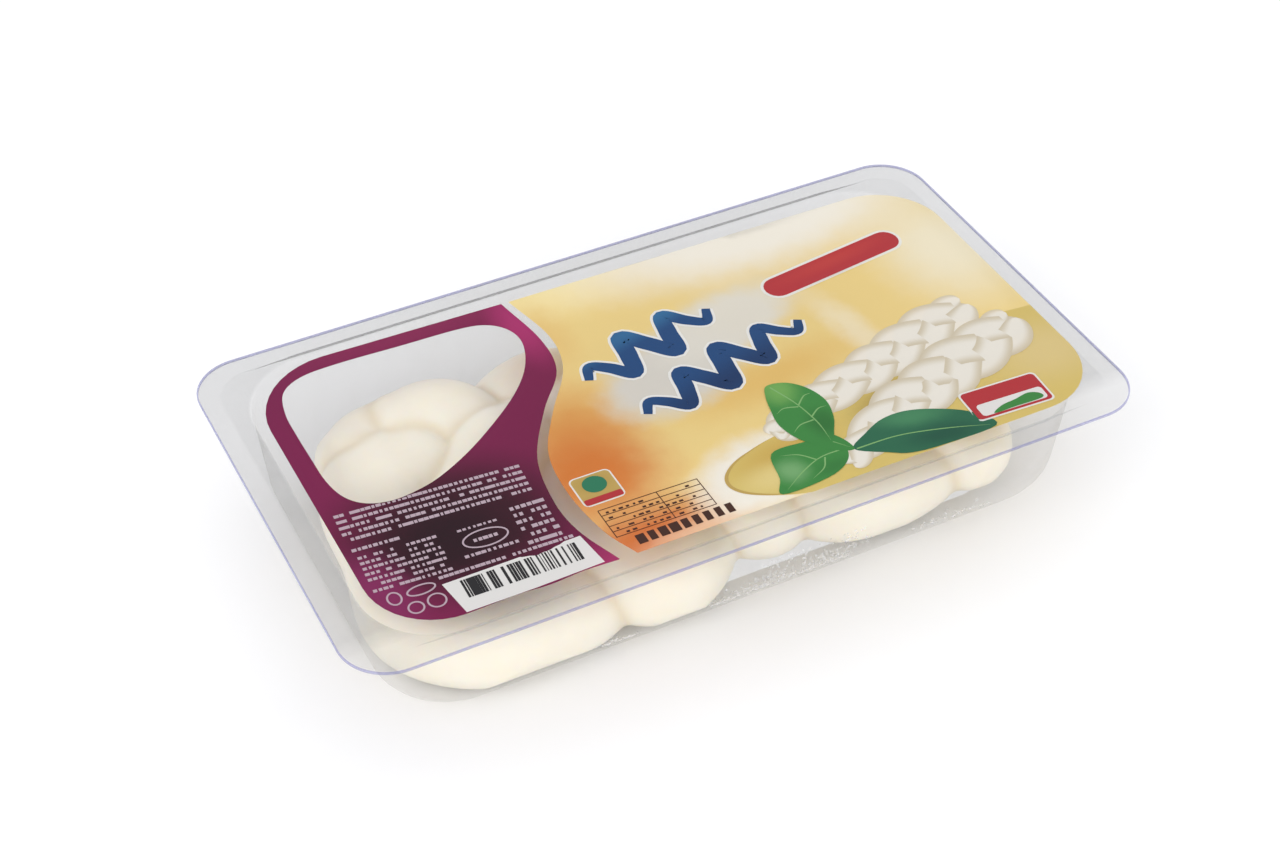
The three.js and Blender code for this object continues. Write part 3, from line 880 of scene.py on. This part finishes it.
title = [wave_line((-15, 9.5), (22.5, 21), 6.2, 3), wave_line((-8, -7.5), (40.5, 7), 5.6, 4)]
for rim, layer, ink, slot, name in ((1.9, 1.2, white_ink, "print_white", "print_title_edge"),
                                    (0.5, 2.2, navy_ink, "print_navy", "print_title_wave")):
    strokes(name, [(way, [rim + 4.3 * math.sin(
        math.pi * (0.12 + 0.76 * k / (len(way) - 1))) for k in range(len(way))])
                   for way in title], layer, ink)
corner_hill = curve_through([(64, -44.2), (67, -42.6), (71, -42.2), (75, -41.6), (77.5, -43),
                             (77, -44.6), (70, -44.4)], 4, closed=True)
for name, outline, ink, slot, layer in (
        ("capsule_edge", rounded_box(59.5, 22.6, 42.5, 9.0, 4.4, 7), white_ink, "white", 1.2),
        ("capsule", rounded_box(59.5, 22.6, 41, 7.4, 3.6, 7), red_ink, "red", 2),
        ("corner_label_edge", rounded_box(69.8, -40.4, 21, 10.8, 1.4, -3), white_ink, "white", 5),
        ("corner_label", rounded_box(69.8, -40.4, 20, 9.8, 1.1, -3), red_ink, "red", 6),
        ("corner_label_panel", rounded_box(70, -42.5, 17.6, 4.2, 1, -3), white_ink, "white", 7),
        ("corner_label_hill", corner_hill, green_ink, "green", 8),
        ("badge_edge", rounded_box(-29.8, -24.8, 10.4, 10, 1.5), white_ink, "white", 1),
        ("badge", rounded_box(-29.8, -24.8, 9.6, 9.2, 1.2), gold_ink, "gold", 2),
        ("badge_strip", rounded_box(-29.8, -28.4, 9.4, 1.9, 0.5), red_ink, "red", 3),
        ("badge_disc", ellipse(-29.8, -23.5, 2.9, 2.7), mark_green_ink, "green", 3)):
    sheet("print_" + name, outline, ink, layer)
code_box = [(-72.9, -36.9), (-39.9, -36.9), (-38.6, -46.6), (-55, -47.0), (-71.4, -46.9)]
code_panel = sheet("print_code_panel", code_box, white_ink, 1)


# ---------------------------------------------------------------- print: rows of small marks
def start_tree(name, inputs):
    """A Geometry Nodes tree with named inputs, and the sockets that give their values."""
    tree = bpy.data.node_groups.new(name, "GeometryNodeTree")
    for label, kind in inputs.items():
        tree.interface.new_socket(label, in_out="INPUT", socket_type="NodeSocket" + kind)
    tree.interface.new_socket("Result", in_out="OUTPUT", socket_type="NodeSocketGeometry")
    return tree, add(tree, "NodeGroupInput").outputs


def marks_tree():
    """Rows of small bars laid on a printed surface, such as lines of print too fine to read."""
    tree, given = start_tree("rows_of_marks", {
        "Surface": "Object", "Ink": "Material", "Columns": "Int", "Rows": "Int",
        "Column Pitch": "Float", "Row Pitch": "Float", "Narrowest": "Float", "Widest": "Float",
        "Height": "Float", "Kept": "Float", "Middle": "Vector", "Turn": "Vector",
        "Seed": "Int", "Lift": "Float"})
    reach = []
    for count, pitch in (("Columns", "Column Pitch"), ("Rows", "Row Pitch")):
        spans = add(tree, "ShaderNodeMath", {0: given[count], 1: 1.0}, operation="SUBTRACT")
        reach.append(add(tree, "ShaderNodeMath", {0: spans, 1: given[pitch]},
                         operation="MULTIPLY"))
    grid = add(tree, "GeometryNodeMeshGrid", {
        "Size X": reach[0], "Size Y": reach[1],
        "Vertices X": given["Columns"], "Vertices Y": given["Rows"]})
    kept = add(tree, "FunctionNodeRandomValue", {
        "Probability": given["Kept"], "Seed": given["Seed"]}, data_type="BOOLEAN")
    wide = add(tree, "FunctionNodeRandomValue", {
        2: given["Narrowest"], 3: given["Widest"], "Seed": given["Seed"]}, data_type="FLOAT")
    size = add(tree, "ShaderNodeCombineXYZ", {0: wide.outputs[1], 1: given["Height"], 2: 1.0})
    bar = add(tree, "GeometryNodeMeshGrid", {
        "Size X": 1.0, "Size Y": 1.0, "Vertices X": 2, "Vertices Y": 4})
    placed = add(tree, "GeometryNodeInstanceOnPoints", {
        "Points": grid, "Selection": kept.outputs[3], "Instance": bar,
        "Scale": size})
    turned = add(tree, "GeometryNodeTransform", {
        "Geometry": placed, "Translation": given["Middle"],
        "Rotation": given["Turn"]})
    real = add(tree, "GeometryNodeRealizeInstances", {0: turned})
    under = add(tree, "GeometryNodeObjectInfo", {"Object": given["Surface"]})
    here = add(tree, "GeometryNodeInputPosition")
    above = add(tree, "ShaderNodeVectorMath", {0: here, 1: (0, 0, 0.01)},
                operation="ADD")
    landing = add(tree, "GeometryNodeRaycast", {
        "Target Geometry": under.outputs["Geometry"], "Source Position": above,
        "Ray Direction": (0, 0, -1), "Ray Length": 0.05})
    lift = add(tree, "ShaderNodeCombineXYZ", {2: given["Lift"]})
    rest = add(tree, "ShaderNodeVectorMath", {
        0: landing.outputs["Hit Position"], 1: lift}, operation="ADD")
    missed = add(tree, "FunctionNodeBooleanMath", {0: landing.outputs["Is Hit"]}, operation="NOT")
    whole = add(tree, "GeometryNodeDeleteGeometry", {
        "Geometry": real, "Selection": missed}, domain="POINT")
    laid = add(tree, "GeometryNodeSetPosition", {"Geometry": whole, "Position": rest})
    inked = add(tree, "GeometryNodeSetMaterial", {"Geometry": laid, "Material": given["Ink"]})
    add(tree, "NodeGroupOutput", {0: inked})
    return tree


def grown(name, tree, values, base=None):
    """Runs a Geometry Nodes tree on a mesh and keeps its result as a plain piece."""
    start = base or bpy.data.meshes.new(name + "_start")
    holder = put(name, start)
    grower = holder.modifiers.new("grow", "NODES")
    grower.node_group = tree
    for item in tree.interface.items_tree:
        if item.in_out == "INPUT" and item.name in values:
            grower[item.identifier] = values[item.name]
    bpy.context.view_layer.update()
    result = bpy.data.meshes.new_from_object(
        holder.evaluated_get(bpy.context.evaluated_depsgraph_get()))
    holder.modifiers.remove(grower)
    holder.data = result
    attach(holder, "root")
    return holder


rows_of_marks = marks_tree()
on_panel = (frame_panel, pale_ink, "print_white")
on_field = (field, dark_ink, "print_dark")
# name, where and in what ink, columns, rows, pitches, bar widths, bar height, kept, middle, turn
mark_blocks = [
    ("rows_wide", on_panel, 36, 5, (1.22, 2.05), (0.55, 1.3), 0.95, 0.9, (-64.5, -12.6), -4.3),
    ("rows_wide_last", on_panel, 9, 1, (1.22, 2), (0.55, 1.3), 0.95, 1.0, (-81, -19), -4.3),
    ("rows_left", on_panel, 15, 7, (1.22, 1.8), (0.5, 1.25), 0.85, 0.84, (-77.5, -27.4), -4),
    ("rows_right", on_panel, 6, 6, (1.4, 2.3), (0.6, 1.5), 1.1, 0.86, (-46.6, -28.3), -3),
    ("row_over_oval", on_panel, 8, 1, (1.2, 2), (0.5, 1.1), 0.7, 1.0, (-58.8, -23.7), -3),
    ("row_in_oval", on_panel, 5, 1, (1.2, 2), (0.6, 1.2), 1.0, 1.0, (-58.6, -27.9), -3),
    ("row_under_oval", on_panel, 10, 1, (1.3, 2), (0.6, 1.3), 0.9, 1.0, (-58.8, -31.9), -3),
    ("row_over_code", on_panel, 26, 1, (1.22, 2), (0.6, 1.3), 0.9, 0.95, (-57, -35.5), -2.4),
    ("code_bars", (code_panel, black_ink, "print_dark"), 40, 1, (0.68, 2), (0.16, 0.8), 5.6,
     0.74, (-55.6, -40.7), -1.2),
    ("table_rows", on_field, 14, 5, (1.65, 1.84), (0.5, 1.4), 0.6, 0.55, (-20.6, -36.9), -1.2),
    ("weight_blocks", on_field, 9, 1, (2.75, 2), (1.6, 2.4), 3.0, 0.93, (-17.2, -43.9), -0.5),
]
for seed, (name, (surface, ink, slot), columns, rows, pitch, wide, tall, kept, middle,
           turn) in enumerate(mark_blocks):
    grown("print_" + name, rows_of_marks, {
        "Surface": surface, "Ink": ink, "Columns": columns, "Rows": rows,
        "Column Pitch": pitch[0] * MM, "Row Pitch": pitch[1] * MM, "Narrowest": wide[0] * MM,
        "Widest": wide[1] * MM, "Height": tall * MM, "Kept": kept,
        "Middle": (middle[0] * MM, middle[1] * MM, RIM * MM),
        "Turn": (0, 0, math.radians(turn)), "Seed": seed + 3, "Lift": 0.03 * MM})
strokes("print_table_lines", [
    ([(-33, -31.7 - k * 1.86), (-20, -32.0 - k * 1.86), (-8.3, -32.3 - k * 1.86)], [0.22] * 3)
    for k in range(6)] + [
    ([(x, -31.8 - 0.02 * (x + 33)), (x + 0.1, -41.2 - 0.02 * (x + 33))], [0.22] * 2)
    for x in (-33, -18.6, -8.4)], 1.4, dark_ink, steps=3)
rings_drawn = [ellipse(-58.6, -27.9, 5.2, 2.6, -3, 24), ellipse(-77.4, -36.2, 3.2, 1.4, 0, 20),
               ellipse(-80.4, -40.7, 1.7, 1.7, 0, 16), ellipse(-75.6, -40.7, 2.0, 2.0, 0, 16),
               ellipse(-83.6, -36.2, 1.5, 1.9, 0, 16)]
strokes("print_small_rings", [(ring, [0.42] * len(ring)) for ring in rings_drawn], 1.4,
        pale_ink, closed=True, steps=2)

# ---------------------------------------------------------------- beads of water in the tray
def beads_tree():
    """Fine beads scattered over the inner side of the wall, each flattened against it."""
    tree, given = start_tree("beads_on_wall", {
        "Wall": "Geometry", "Density": "Float", "Smallest": "Float", "Largest": "Float",
        "Seed": "Int", "Water": "Material"})
    drift = add(tree, "ShaderNodeTexNoise", {"Scale": 1 / (5 * MM), "Detail": 1.0})
    patchy = add(tree, "ShaderNodeMapRange", {0: drift, 1: 0.42, 2: 0.62})
    dense = add(tree, "ShaderNodeMath", {0: patchy, 1: given["Density"]}, operation="MULTIPLY")
    points = add(tree, "GeometryNodeDistributePointsOnFaces", {
        "Mesh": given["Wall"], "Density": dense, "Seed": given["Seed"]})
    even = add(tree, "FunctionNodeRandomValue", {2: 0.0, 3: 1.0, "Seed": given["Seed"]},
               data_type="FLOAT")
    rare = add(tree, "ShaderNodeMath", {0: even.outputs[1], 1: 1.6}, operation="POWER")
    radius = add(tree, "ShaderNodeMapRange", {0: rare, 3: given["Smallest"], 4: given["Largest"]})
    low = add(tree, "ShaderNodeMath", {0: radius, 1: 0.55}, operation="MULTIPLY")
    size = add(tree, "ShaderNodeCombineXYZ", {0: radius, 1: radius, 2: low})
    bead = add(tree, "GeometryNodeMeshIcoSphere", {"Radius": 1.0, "Subdivisions": 2})
    placed = add(tree, "GeometryNodeInstanceOnPoints", {
        "Points": points.outputs["Points"], "Instance": bead,
        "Rotation": points.outputs["Rotation"], "Scale": size})
    real = add(tree, "GeometryNodeRealizeInstances", {0: placed})
    wet = add(tree, "GeometryNodeSetMaterial", {"Geometry": real, "Material": given["Water"]})
    add(tree, "NodeGroupOutput", {0: wet})
    return tree


def wall_patch(name, x0, x1, z0, z1, steps=10):
    """A piece of the front wall's inner side, facing into the tray."""
    vertices = []
    for kz in range(steps + 1):
        z = z0 + (z1 - z0) * kz / steps
        below = max(BASE_ROUND - (z - WALL), 0)
        inset = BASE_ROUND - math.sqrt(BASE_ROUND ** 2 - below ** 2)
        y = -(MOUTH[1] / 2 - DRAFT * (1 - (z - WALL) / (RIM - WALL)) - inset) + 0.12
        vertices += [(x0 + (x1 - x0) * kx / steps, y, z) for kx in range(steps + 1)]
    row = steps + 1
    faces = [(a, a + row, a + row + 1, a + 1) for r in range(steps)
             for a in range(r * row, r * row + steps)]
    return new_mesh(name, vertices, faces)


beads_on_wall = beads_tree()
for seed, (x0, x1, z0, z1, density) in enumerate([
        (-10, 26, 1.6, 13, 2.2e6), (0, 30, 11, 17, 0.9e6), (-38, -29, 2, 10, 1.2e6),
        (46, 66, 2, 12, 0.5e6)]):
    grown(f"beads_on_front_wall_{seed + 1}", beads_on_wall, {
        "Density": density, "Smallest": 0.13 * MM, "Largest": 0.46 * MM, "Seed": seed + 11,
        "Water": water}, wall_patch(f"wall_patch_{seed}", x0, x1, z0, z1))
